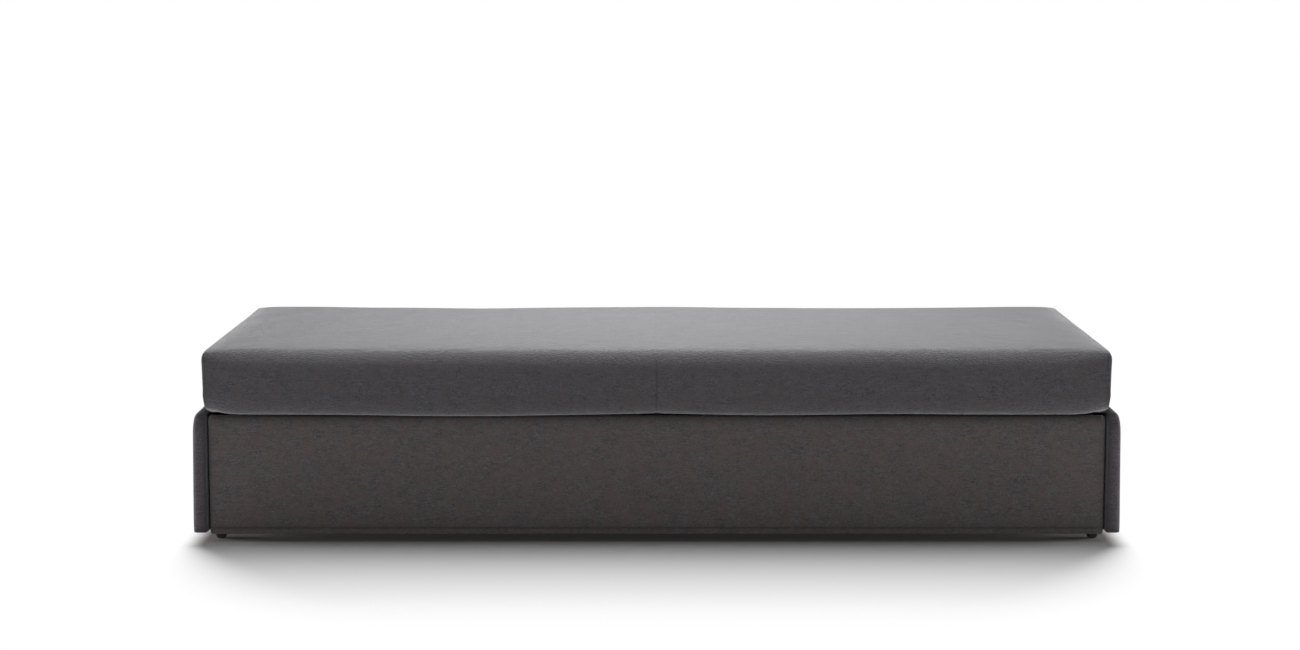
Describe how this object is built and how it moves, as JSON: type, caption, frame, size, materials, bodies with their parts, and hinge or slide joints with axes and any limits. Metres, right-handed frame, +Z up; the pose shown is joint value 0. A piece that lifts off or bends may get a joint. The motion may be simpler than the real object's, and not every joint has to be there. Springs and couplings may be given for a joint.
{
  "type": "sofa bed",
  "caption": "Low backless upholstered daybed with a thick mattress on a slatted base; the front panel pulls a second slatted bed and mattress out on castors.",
  "frame": {"origin": "on the floor under the middle of the daybed", "axes": "+X along the mattress to the right of someone facing the front, +Y to the back, +Z up"},
  "size_m": [2.04, 0.85, 0.44],
  "materials": {
    "grey_felt": "matte",
    "ticking": "matte",
    "foam": "matte",
    "plywood": "matte",
    "beech": "satin",
    "frame_steel": "satin",
    "zinc": "satin",
    "black_plastic": "matte",
    "wheel": "satin"
  },
  "bodies": {
    "main_bed": {"left_side_cover": "grey_felt", "right_side_cover": "grey_felt", "back_cover": "grey_felt", "mattress_cover": "grey_felt", "left_side_board": "plywood", "right_side_board": "plywood", "back_board": "plywood", "mattress_core": "foam", "upper_front_rail": "frame_steel", "upper_rear_rail": "frame_steel", "rail_bracket_front_left": "zinc", "foot_front_left": "black_plastic", "rail_bracket_rear_left": "zinc", "foot_rear_left": "black_plastic", "rail_bracket_front_right": "zinc", "foot_front_right": "black_plastic", "rail_bracket_rear_right": "zinc", "foot_rear_right": "black_plastic", "foot_back_centre": "black_plastic", "upper_slat_01": "beech", "upper_slat_02": "beech", "upper_slat_03": "beech", "upper_slat_04": "beech", "upper_slat_05": "beech", "upper_slat_06": "beech", "upper_slat_07": "beech", "upper_slat_08": "beech", "upper_slat_09": "beech", "upper_slat_10": "beech", "upper_slat_11": "beech", "upper_slat_12": "beech", "upper_slat_13": "beech", "upper_slat_14": "beech", "guide_runner_left": "beech", "guide_runner_right": "beech"},
    "trundle": {"front_cover": "grey_felt", "front_board": "plywood", "trundle_mattress_core": "foam", "trundle_mattress_cover": "ticking", "trundle_front_tube": "frame_steel", "trundle_rear_tube": "frame_steel", "trundle_left_tube": "frame_steel", "trundle_right_tube": "frame_steel", "trundle_centre_bar": "frame_steel", "castor_bracket_front_left": "zinc", "castor_axle_front_left": "zinc", "castor_bracket_rear_left": "zinc", "castor_axle_rear_left": "zinc", "castor_bracket_front_right": "zinc", "castor_axle_front_right": "zinc", "castor_bracket_rear_right": "zinc", "castor_axle_rear_right": "zinc", "front_panel_strap_1": "zinc", "front_panel_strap_2": "zinc", "front_panel_strap_3": "zinc", "trundle_slat_mat": "beech"},
    "wheel_front_left": {"castor_wheel_front_left": "wheel"},
    "wheel_rear_left": {"castor_wheel_rear_left": "wheel"},
    "wheel_front_right": {"castor_wheel_front_right": "wheel"},
    "wheel_rear_right": {"castor_wheel_rear_right": "wheel"}
  },
  "joints": [
    {"name": "trundle_pull", "type": "slide", "parent": "main_bed", "child": "trundle", "axis": [0, -1, 0], "range_m": [0, 0.8]},
    {"name": "wheel_spin_front_left", "type": "hinge", "parent": "trundle", "child": "wheel_front_left", "pos_m": [-0.973, -0.34, 0.025], "axis": [1, 0, 0], "continuous": true},
    {"name": "wheel_spin_rear_left", "type": "hinge", "parent": "trundle", "child": "wheel_rear_left", "pos_m": [-0.973, 0.3, 0.025], "axis": [1, 0, 0], "continuous": true},
    {"name": "wheel_spin_front_right", "type": "hinge", "parent": "trundle", "child": "wheel_front_right", "pos_m": [0.973, -0.34, 0.025], "axis": [1, 0, 0], "continuous": true},
    {"name": "wheel_spin_rear_right", "type": "hinge", "parent": "trundle", "child": "wheel_rear_right", "pos_m": [0.973, 0.3, 0.025], "axis": [1, 0, 0], "continuous": true}
  ],
  "couplings": [
    {"joint": "wheel_spin_front_left", "follows": "trundle_pull", "rad_per_m": 40},
    {"joint": "wheel_spin_rear_left", "follows": "trundle_pull", "rad_per_m": 40},
    {"joint": "wheel_spin_front_right", "follows": "trundle_pull", "rad_per_m": 40},
    {"joint": "wheel_spin_rear_right", "follows": "trundle_pull", "rad_per_m": 40}
  ]
}
